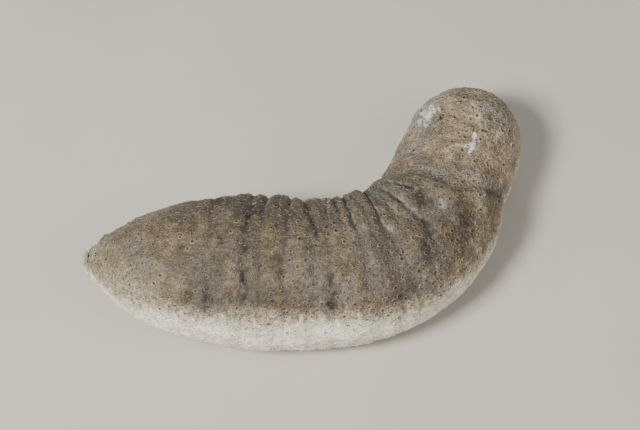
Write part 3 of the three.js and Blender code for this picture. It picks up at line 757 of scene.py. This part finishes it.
def pit_ring(angles, depth, radius):
    centre, forward, right = spine_frame(np.array([0.0]))
    middle = along(np.array([0.0]), MIDDLE)[0]
    level = centre[0] + forward[0] * depth
    side = right[0][None] * (radius * np.cos(angles))[:, None]
    return np.concatenate([level + side, (middle + radius * np.sin(angles))[:, None]], -1)


def skin_faces(ring_at):
    """Quads between the rings and a fan into each end point, with the unwrap of their corners."""
    hind_index = len(ring_at) * SKIN_COLUMNS
    last = hind_index - SKIN_COLUMNS
    count = SKIN_COLUMNS
    sides = [(k, (k + 1) % count, k / count, (k + 1) / count) for k in range(count)]
    faces, uvs = [], []
    for ring in range(len(ring_at) - 1):
        low, high = ring * SKIN_COLUMNS, (ring + 1) * SKIN_COLUMNS
        u0, u1 = ring_at[ring] / LENGTH, ring_at[ring + 1] / LENGTH
        for column, after, v0, v1 in sides:
            faces.append((low + column, high + column, high + after, low + after))
            uvs.extend([(u0, v0), (u1, v0), (u1, v1), (u0, v1)])
    for column, after, v0, v1 in sides:
        faces.extend([(column, after, hind_index), (last + after, last + column, hind_index + 1)])
        uvs.extend([(0, v0), (0, v1), (0, v0), (1, v1), (1, v0), (1, v0)])
    return faces, uvs


def build_skin():
    places = skin_places()
    angles = -math.pi / 2 + 2 * math.pi * np.arange(SKIN_COLUMNS) / SKIN_COLUMNS
    at, angle = np.meshgrid(places, angles, indexing="ij")
    wave = sum((height * np.cos(angles * number) for height, number in VENT_WAVES), 1)
    pit = np.stack([pit_ring(angles, depth, radius * wave) for depth, radius in VENT_PIT])
    rings = np.concatenate([pit, skin_point(at, angle)])
    ring_at = np.concatenate([np.zeros(len(pit)), places])
    hind_pole = pit_ring(np.array([0.0]), VENT_PIT_DEPTH, 0.0)
    front_pole = skin_point(np.array([LENGTH - TINY]), np.array([0.0]))
    points = np.concatenate([rings.reshape(-1, 3), hind_pole, front_pole])
    mark_at = np.concatenate([np.repeat(ring_at, SKIN_COLUMNS), [0, LENGTH]])
    mark_angle = np.concatenate([np.tile(angles, len(rings)), [0, 0]])
    amounts = markings(mark_at, mark_angle, points)
    amounts["pit"] = np.zeros(len(points))
    # Painted shade inside the vent's pit and at its end point
    amounts["pit"][:len(pit) * SKIN_COLUMNS] = 1
    amounts["pit"][-2] = 1
    amounts["ring"] = np.zeros(len(points))
    faces, uvs = skin_faces(ring_at)
    return mesh_object("skin", points, faces, uvs, amounts)


# Places for the small pieces, no closer together than their spacing
def scatter(tries, spacing, seed, lowest, highest):
    draw = np.random.default_rng(seed)
    at = draw.uniform(SCATTER_FROM, LENGTH - SCATTER_END_GAP, tries)
    turn = draw.uniform(lowest, highest, tries)
    keep_at, keep_turn, grid = [], [], {}
    points = plain_point(at, np.radians(turn))
    for index, point in enumerate(points):
        cell = tuple(np.floor(point / spacing).astype(int))
        near = [grid.get((cell[0] + i, cell[1] + j, cell[2] + k), ())
                for i in (-1, 0, 1) for j in (-1, 0, 1) for k in (-1, 0, 1)]
        if any(np.dot(point - other, point - other) < spacing**2 for group in near for other in group):
            continue
        grid.setdefault(cell, []).append(point)
        keep_at.append(at[index])
        keep_turn.append(turn[index])
    return np.array(keep_at), np.radians(keep_turn)


def ring_faces(rings, sides):
    """Faces between stacked rings of points, closed by the one point that follows the last ring."""
    faces = []
    for level in range(rings - 1):
        for k in range(sides):
            after = (k + 1) % sides
            low, high = level * sides, (level + 1) * sides
            faces.append((low + k, low + after, high + after, high + k))
    last = (rings - 1) * sides
    return faces + [(last + k, last + (k + 1) % sides, last + sides) for k in range(sides)]


def circle(angles, across, upward):
    return np.cos(angles)[:, None] * across + np.sin(angles)[:, None] * upward


def pore_shape(point, normal, size, stretch, sides, lift):
    """Points of one pore, a low ring round a small pit, with the two directions across it."""
    across = np.cross(normal, (0.0, 0.0, 1.0) if abs(normal[2]) < 0.9 else (1.0, 0.0, 0.0))
    across /= np.linalg.norm(across)
    upward = np.cross(normal, across)
    around = 2 * math.pi * np.arange(sides) / sides
    outline = circle(around, across * stretch, upward)
    rows = []
    for radius, height, _, _ in PORE_PROFILE:
        middle = point + normal * height * lift
        rows.append(middle + outline * radius * size if radius else middle[None])
    return np.concatenate(rows), across, upward


def build_pores(name, sides, height, radius, pit_shade, *places):
    pieces = Pieces()
    at, angle = scatter(*places, PORES_FROM, PORES_TO)
    draw = np.random.default_rng(places[-1] + PORE_DRAW_SEED)
    points = skin_point(at, angle)
    normals = skin_normal(at, angle)
    amounts = markings(at, angle, plain_point(at, angle))
    rings = len(PORE_PROFILE) - 1
    faces = ring_faces(rings, sides)
    repeats = [sides] * rings + [1]
    ring_amount, pit_shade_amount = (np.repeat([row[part] for row in PORE_PROFILE], repeats) for part in (2, 3))
    for index, point in enumerate(points):
        white = amounts["white"][index]
        if draw.random() > 1 - (1 - PORES_LEFT_ON_WHITE) * white:
            continue
        size = radius * (PORE_LEAST_SIZE + PORE_SIZE_SWING * draw.random() ** 2)
        size *= 1 - PORE_SHRINK_ON_WHITE * white
        # How much painted shade darkens the pore's pit
        dark = pit_shade * draw.uniform(*PORE_PIT_SHADES) * (1 - PORE_FADE_ON_WHITE * white)
        pale = draw.uniform(*PORE_PALES)
        stretch = draw.uniform(*PORE_STRETCHES)
        shape, across, upward = pore_shape(point, normals[index], size, stretch, sides, height)
        flat = (shape - point) / LENGTH
        uv = unwrapped(at[index], angle[index]) + np.stack([flat @ across, flat @ upward], -1)
        local = {key: values[index] for key, values in amounts.items()}
        pieces.add(shape, faces, uv, ring=ring_amount * pale, pit=pit_shade_amount * dark, **local)
    return pieces.joined(name)


def tube(path, radii, sides):
    """Points and faces of a tapered tube along a path, closed by a point at its far end."""
    path = np.asarray(path, float)
    ahead = np.gradient(path, axis=0)
    ahead /= np.linalg.norm(ahead, axis=1, keepdims=True)
    around = 2 * math.pi * np.arange(sides) / sides
    points = []
    for centre, direction, radius in zip(path, ahead, radii):
        across = np.cross(direction, TUBE_HELPER)
        across /= np.linalg.norm(across)
        points.append(centre + radius * circle(around, across, np.cross(direction, across)))
    points = np.concatenate(points + [path[-1:] + ahead[-1:] * radii[-1] * TUBE_END])
    return points, ring_faces(len(path), sides)


def small_uv(at, angle, points, middle):
    """A patch about 0.003 across at the piece's root on the skin's unwrap."""
    flat = np.asarray(points) - middle
    reach = max(np.abs(flat).max(), TINY)
    spot = np.clip(unwrapped(at, angle), PATCH_MARGIN, 1 - PATCH_MARGIN)
    return spot + flat[:, :2] / reach * PATCH_REACH


def build_tube_feet():
    pieces = Pieces()
    draw = np.random.default_rng(FOOT_SEED)
    at, angle = scatter(FOOT_TRIES, FOOT_SPACING, FOOT_SEED, *FOOT_TURNS)
    roots = skin_point(at, angle)
    for index, root in enumerate(roots):
        if root[2] > FOOT_TOP_LIMIT or at[index] > LENGTH - MOUTH_BEFORE_TIP - MOUTH_RADIUS:
            continue
        lean = draw.uniform(-FOOT_LEAN, FOOT_LEAN, 2)
        size = FOOT_RADIUS * draw.uniform(*FOOT_SIZES)
        heights = (root[2] + FOOT_SINK, root[2], root[2] * FOOT_WAIST, *FOOT_DISC_HEIGHTS)
        path = [(*(root[:2] + lean * (root[2] - z)), z) for z in heights]
        points, faces = tube(path, size * np.array(FOOT_RADII), FOOT_SIDES)
        points[:, 2] = np.maximum(points[:, 2], FOOT_FLOOR_GAP)
        tip = np.clip(1 - points[:, 2] / FOOT_TIP_HEIGHT, 0, 1)
        pieces.add(points, faces, small_uv(at[index], angle[index], points, root), tip=tip)
    return pieces.joined("tube_feet")


def build_vent_papillae():
    pieces = Pieces()
    draw = np.random.default_rng(PAPILLA_SEED)
    centre, forward, right = spine_frame(np.array([0.0]))
    middle = np.array([*centre[0], along(np.array([0.0]), MIDDLE)[0]])
    back = -np.array([*forward[0], 0])
    across, upward = np.array([*right[0], 0]), np.array([0, 0, 1])
    for group in range(VENT_GROUPS):
        for number in range(PAPILLAE_IN_GROUP):
            spread = (number - (PAPILLAE_IN_GROUP - 1) / 2) * PAPILLA_SPACING
            angle = math.pi / 2 + 2 * math.pi * group / VENT_GROUPS + spread
            angle += draw.uniform(-PAPILLA_JITTER, PAPILLA_JITTER)
            out = across * math.cos(angle) + upward * math.sin(angle)
            length = PAPILLA_ROOT + draw.uniform(*PAPILLA_LENGTHS)
            start = middle + out * (VENT_RIM_RADIUS - PAPILLA_INSET) - back * PAPILLA_ROOT
            steps = np.linspace(0, 1, len(PAPILLA_RADII))
            path = [start + back * length * t + out * PAPILLA_CURL * t * t for t in steps]
            points, faces = tube(path, PAPILLA_RADII, PAPILLA_SIDES)
            tip = np.clip((points - start) @ back / length, 0, 1)
            pieces.add(points, faces, small_uv(SCATTER_FROM, angle, points, start), tip=tip)
    return pieces.joined("vent_papillae")


def build_mouth_disc():
    middle, facing, across, upward = mouth_frame()
    angles = 2 * math.pi * np.arange(MOUTH_SIDES) / MOUTH_SIDES
    outline = circle(angles, across, upward)
    rows = []
    for radius, height in MOUTH_RINGS:
        rays = MOUTH_RAY_HEIGHT * np.cos(angles * TENTACLES) * smooth(radius / MOUTH_RAY_FADE)
        folds = rays + MOUTH_WAVE_HEIGHT * np.cos(angles * MOUTH_WAVES)
        depth = height + folds * (1 if radius < MOUTH_RIM else MOUTH_RIM_SHARE)
        rows.append(middle + facing * depth[:, None] + radius * outline)
    points = np.concatenate(rows + [(middle - facing * MOUTH_PIT_DEPTH)[None]])
    faces = ring_faces(len(MOUTH_RINGS), MOUTH_SIDES)
    flat = np.stack([(points - middle) @ across, (points - middle) @ upward], -1)
    uv = 0.5 + flat / (MOUTH_UV_SPAN * MOUTH_RADIUS)
    dark = 1 - smooth(np.linalg.norm(flat, axis=-1) / MOUTH_DARK_REACH)
    return mesh_object("mouth_disc", points, faces, [uv[i] for face in faces for i in face], {"tip": dark})


def finger_shape(draw, finger, neck, direction, side, over):
    """One short finger of a tentacle's shield, in its outer ring or its inner one."""
    ring = int(finger >= FINGER_COUNTS[0])
    turn = 2 * math.pi * finger / FINGER_COUNTS[ring] + draw.uniform(-FINGER_JITTER, FINGER_JITTER)
    out = side * math.cos(turn) + over * math.sin(turn)
    reach = draw.uniform(*FINGER_REACHES[ring])
    rise = draw.uniform(*FINGER_RISES[ring])
    end = neck + out * reach + direction * rise
    bend = neck + out * reach * FINGER_BEND + direction * (rise * FINGER_BEND_RISE)
    stem = [neck - direction * FINGER_ROOT, bend, (bend + end) / 2 + direction * FINGER_ARCH, end]
    return tube(stem, FINGER_RADII, FINGER_SIDES)


def build_tentacles():
    """Each tentacle is a stalk that ends in a small shield of short fingers."""
    pieces = Pieces()
    draw = np.random.default_rng(TENTACLE_SEED)
    middle, facing, across, upward = mouth_frame()
    for index in range(TENTACLES):
        angle = 2 * math.pi * (index + draw.uniform(-TENTACLE_JITTER, TENTACLE_JITTER)) / TENTACLES
        kind = index % 2
        outward = across * math.cos(angle) + upward * math.sin(angle)
        splay = TENTACLE_SPLAYS[kind]
        direction = facing * math.cos(splay) + outward * math.sin(splay)
        base = middle + outward * (TENTACLE_ROOT - kind * TENTACLE_ROOT_STEP)
        length = TENTACLE_LENGTHS[kind] * draw.uniform(*TENTACLE_SIZES)
        steps = np.linspace(TENTACLE_SUNK, 1, len(TENTACLE_RADII))
        path = [base + direction * length * t + facing * TENTACLE_CURL * t * t for t in steps]
        points, faces = tube(path, TENTACLE_RADII, TENTACLE_SIDES)
        patch_at = LENGTH * (TENTACLE_PATCH + TENTACLE_PATCH_STEP * kind)
        patch_angle = -math.pi / 2 + 2 * math.pi * (index + 0.5) / TENTACLES
        pieces.add(points, faces, small_uv(patch_at, patch_angle, points, base), tip=0.0)
        neck = path[-1]
        side = np.cross(direction, facing + TENTACLE_TWIST * across)
        side /= np.linalg.norm(side)
        over = np.cross(direction, side)
        for finger in range(sum(FINGER_COUNTS)):
            points, faces = finger_shape(draw, finger, neck, direction, side, over)
            tip = np.clip(np.linalg.norm(points - neck, axis=-1) / FINGER_PALE_FROM, 0, 1)
            pieces.add(points, faces, small_uv(patch_at, patch_angle, points, neck), tip=tip)
    return pieces.joined("tentacles")


# Materials
def new_material(name):
    material = bpy.data.materials.new(name)
    material.use_nodes = True
    tree = material.node_tree
    return material, tree, tree.nodes["Principled BSDF"]


def attribute_value(tree, name):
    node = tree.nodes.new("ShaderNodeAttribute")
    node.attribute_name = name
    return node.outputs["Fac"]


def noise_value(tree, size_mm, detail=4.0, roughness=0.6, vector=None):
    node = tree.nodes.new("ShaderNodeTexNoise")
    node.inputs["Scale"].default_value = 1 / (size_mm * MM)
    node.inputs["Detail"].default_value = detail
    node.inputs["Roughness"].default_value = roughness
    tree.links.new(vector or object_place(tree), node.inputs["Vector"])
    return node.outputs["Fac"]


def object_place(tree):
    found = tree.nodes.get("Place") or tree.nodes.new("ShaderNodeTexCoord")
    found.name = "Place"
    return found.outputs["Object"]


def ramp(tree, value, stops):
    """A colour ramp through (position, colour) stops; a number stands for a grey."""
    node = tree.nodes.new("ShaderNodeValToRGB")
    elements = node.color_ramp.elements
    while len(elements) < len(stops):
        elements.new(0.5)
    for element, (position, colour) in zip(elements, stops):
        element.position = position
        shade = (colour,) * 3 if isinstance(colour, (int, float)) else colour
        element.color = (*shade, 1)
    tree.links.new(value, node.inputs["Fac"])
    return node.outputs["Color"]


def feed(tree, value, socket):
    """Links a node's output to the socket, or sets the socket to a number or a colour."""
    if isinstance(value, bpy.types.NodeSocket):
        tree.links.new(value, socket)
    else:
        socket.default_value = (*value, 1) if isinstance(value, tuple) else value


def mixed(tree, amount, first, second, blend="MIX"):
    node = tree.nodes.new("ShaderNodeMix")
    node.data_type = "RGBA"
    node.blend_type = blend
    for number, value in ((0, amount), (6, first), (7, second)):
        feed(tree, value, node.inputs[number])
    return node.outputs[2]


def math_value(tree, operation, first, second=0.0, clamp=False):
    node = tree.nodes.new("ShaderNodeMath")
    node.operation = operation
    node.use_clamp = clamp
    feed(tree, first, node.inputs[0])
    feed(tree, second, node.inputs[1])
    return node.outputs[0]


def bumped(tree, shader, heights):
    """Stacks bumps given as (value, distance in mm, strength)."""
    normal = None
    for value, distance, strength in heights:
        node = tree.nodes.new("ShaderNodeBump")
        node.inputs["Distance"].default_value = distance * MM
        node.inputs["Strength"].default_value = strength
        tree.links.new(value, node.inputs["Height"])
        if normal:
            tree.links.new(normal, node.inputs["Normal"])
        normal = node.outputs["Normal"]
    tree.links.new(normal, shader.inputs["Normal"])


def scaled(tree, value, factor):
    return math_value(tree, "MULTIPLY", value, factor)


def back_colour(tree):
    """Brown and beige mottling with bluish clouds, blue-grey painted shade in the grooves and on the inner
    side, paler at the hind tip, all times the tone, which holds the painted light and shade of the sides.
    """
    stops = ((0.32, DARK_BROWN), (0.44, MID_BROWN), (0.56, WARM_BROWN), (0.72, BEIGE))
    colour = ramp(tree, noise_value(tree, *MOTTLE), stops)
    clouds = ramp(tree, noise_value(tree, *CLOUDS), ((0.46, 0.0), (0.62, 1.0)))
    colour = mixed(tree, scaled(tree, clouds, CLOUD_AMOUNT), colour, BLUE_GREY)
    blush = ramp(tree, noise_value(tree, *BLUSH), ((0.52, 0.0), (0.66, 1.0)))
    colour = mixed(tree, scaled(tree, blush, BLUSH_AMOUNT), colour, FRONT_PINK)
    # Blue-grey painted shade in the grooves and on the inner side, with the front segment's own grey
    colour = mixed(tree, scaled(tree, attribute_value(tree, "groove_shade_and_grey"), GROOVE_SHADE_AMOUNT), colour, BLUE_GREY)
    colour = mixed(tree, scaled(tree, attribute_value(tree, "hind"), HIND_AMOUNT), colour, HIND_PALE)
    # Times the tone, which holds the painted light and shade of the sides
    return mixed(tree, 1.0, colour, attribute_value(tree, "tone"), "MULTIPLY")


def flank_colour(tree):
    """White with grey specks, and grey dust in patches."""
    speck = ramp(tree, noise_value(tree, *SPECKS), ((0.38, 0.0), (0.46, 1.0)))
    dust = ramp(tree, noise_value(tree, *DUST), ((0.36, 0.75), (0.56, 1.0)))
    return mixed(tree, 1.0, mixed(tree, speck, FLANK_GREY, FLANK_WHITE), dust, "MULTIPLY")


def grained(tree, colour, grains):
    for size, low, high, amount in grains:
        grain = ramp(tree, noise_value(tree, size, 3, 0.7), ((0.34, low), (0.5, 1.0), (0.66, high)))
        colour = mixed(tree, amount, colour, grain, "MULTIPLY")
    return colour


def white_share(tree):
    """How white the skin is, ragged where the white meets the brown."""
    white = attribute_value(tree, "white")
    ragged = math_value(tree, "SUBTRACT", noise_value(tree, *RAGGED_EDGE), 0.5)
    near_edge = ramp(tree, white, ((0.0, 0.0), (0.2, 1.0)))
    ragged = math_value(tree, "MULTIPLY", scaled(tree, ragged, RAGGED_AMOUNT), near_edge)
    return math_value(tree, "ADD", white, ragged, True)


def skin_material():
    material, tree, shader = new_material("sandfish_skin")
    white = white_share(tree)
    back = grained(tree, back_colour(tree), BACK_GRAIN)
    beige = grained(tree, EDGE_BEIGE, BACK_GRAIN)
    back = mixed(tree, ramp(tree, white, ((0.0, 0.0), (0.42, 0.85))), back, beige)
    flank = grained(tree, flank_colour(tree), FLANK_GRAIN)
    colour = mixed(tree, ramp(tree, white, ((0.3, 0.0), (0.6, 0.5), (0.9, 1.0))), back, flank)
    # Dark bars and spots, and the painted shade in the creases round the vent
    colour = mixed(tree, attribute_value(tree, "bar"), colour, DARK_MARKS_AND_SHADE)
    scuff = ramp(tree, noise_value(tree, *SCUFF_DUST), ((0.36, 0.45), (0.55, 1.0)))
    scuff = math_value(tree, "MULTIPLY", attribute_value(tree, "scuff"), scuff)
    colour = mixed(tree, scuff, colour, SCUFF_PALE)
    colour = mixed(tree, scaled(tree, attribute_value(tree, "ring"), RING_AMOUNT), colour, RING_PALE)
    # Painted shade in the pits of the pores and inside the vent
    colour = mixed(tree, attribute_value(tree, "pit"), colour, PIT_SHADE_DARK)
    tree.links.new(colour, shader.inputs["Base Color"])
    wet = ramp(tree, noise_value(tree, *WETNESS), ((0.35, 0.48), (0.7, 0.72)))
    tree.links.new(wet, shader.inputs["Roughness"])
    shader.inputs["Specular IOR Level"].default_value = 0.3
    bumps = ((noise_value(tree, *COARSE_BUMP), 0.55, 0.8), (noise_value(tree, *FINE_BUMP), 0.25, 0.8))
    bumped(tree, shader, bumps)
    return material


def soft_material(name, root_colour, tip_colour, rough, grain_mm):
    material, tree, shader = new_material(name)
    spread = noise_value(tree, grain_mm * 4, 4, 0.6)
    root = mixed(tree, spread, root_colour, tuple(0.72 * part for part in root_colour))
    colour = mixed(tree, attribute_value(tree, "tip"), root, tip_colour)
    grain = ramp(tree, noise_value(tree, grain_mm, 3, 0.7), ((0.3, 0.7), (0.7, 1.15)))
    colour = mixed(tree, 0.7, colour, grain, "MULTIPLY")
    tree.links.new(colour, shader.inputs["Base Color"])
    shine = ramp(tree, spread, ((0.3, rough - 0.08), (0.7, rough + 0.1)))
    tree.links.new(shine, shader.inputs["Roughness"])
    bumped(tree, shader, ((noise_value(tree, grain_mm, 4, 0.65), 0.15, 0.5),))
    return material


def floor_material():
    material, tree, shader = new_material("floor")
    tone = ramp(tree, noise_value(tree, *FLOOR_CLOUDS), ((0.3, FLOOR_LOW), (0.7, FLOOR_HIGH)))
    tree.links.new(tone, shader.inputs["Base Color"])
    shader.inputs["Roughness"].default_value = 0.9
    return material


# The stage
def build_floor():
    mesh = bpy.data.meshes.new("floor")
    corners = [(x * FLOOR_REACH, y * FLOOR_REACH, 0) for x, y in ((-1, -1), (1, -1), (1, 1), (-1, 1))]
    mesh.from_pydata(corners, [], [(0, 1, 2, 3)])
    floor = bpy.data.objects.new("floor", mesh)
    bpy.context.collection.objects.link(floor)
    floor.data.materials.append(floor_material())


def add_light(name, place, size, energy, colour):
    data = bpy.data.lights.new(name, "AREA")
    data.size = size
    data.energy = energy
    data.color = colour
    light = bpy.data.objects.new(name, data)
    light.location = place
    light.rotation_euler = (Vector(LIGHT_TARGET) - Vector(place)).to_track_quat("-Z", "Y").to_euler()
    bpy.context.collection.objects.link(light)


def build_lights():
    for light in LIGHTS:
        add_light(*light)
    world = bpy.context.scene.world or bpy.data.worlds.new("soft")
    bpy.context.scene.world = world
    world.use_nodes = True
    background = world.node_tree.nodes.get("Background")
    background.inputs["Color"].default_value = SKY_COLOUR
    background.inputs["Strength"].default_value = SKY_STRENGTH


def build_camera():
    data = bpy.data.cameras.new("camera")
    data.lens = VIEW_LENS
    data.sensor_fit = "HORIZONTAL"
    data.sensor_width = SENSOR_WIDTH
    data.clip_start = CLIP_START
    camera = bpy.data.objects.new("camera", data)
    back = Vector((0, -math.cos(VIEW_ELEVATION), math.sin(VIEW_ELEVATION)))
    camera.location = (Vector(VIEW_TARGET) + back * VIEW_DISTANCE) * MM
    camera.rotation_euler = (-back).to_track_quat("-Z", "Y").to_euler()
    bpy.context.collection.objects.link(camera)
    bpy.context.scene.camera = camera


def dress(piece, material, slot, *nodes):
    piece.data.materials.append(material)
    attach(piece, "root")
    if nodes:
        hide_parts(*nodes)


build_camera()
build_lights()
build_floor()

skin_look = skin_material()
flesh_nodes = [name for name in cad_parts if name.startswith(("back_", "sole_"))]
dress(build_skin(), skin_look, "back", *flesh_nodes, "vent")
for kind in PORE_KINDS:
    dress(build_pores(*kind), skin_look, "back")
dress(build_tube_feet(), soft_material("foot_skin", FOOT_WHITE, FOOT_TIP, 0.45, 0.35), "sole")
dress(build_vent_papillae(), soft_material("vent_skin", VENT_BROWN, VENT_PALE, 0.5, 0.3), "vent")
dress(build_mouth_disc(), soft_material("mouth_skin", MOUTH_BROWN, MOUTH_DARK, 0.4, 0.4), "mouth", "mouth")
dress(build_tentacles(), soft_material("tentacle_skin", TENTACLE_BROWN, TENTACLE_PALE, 0.4, 0.3), "mouth")
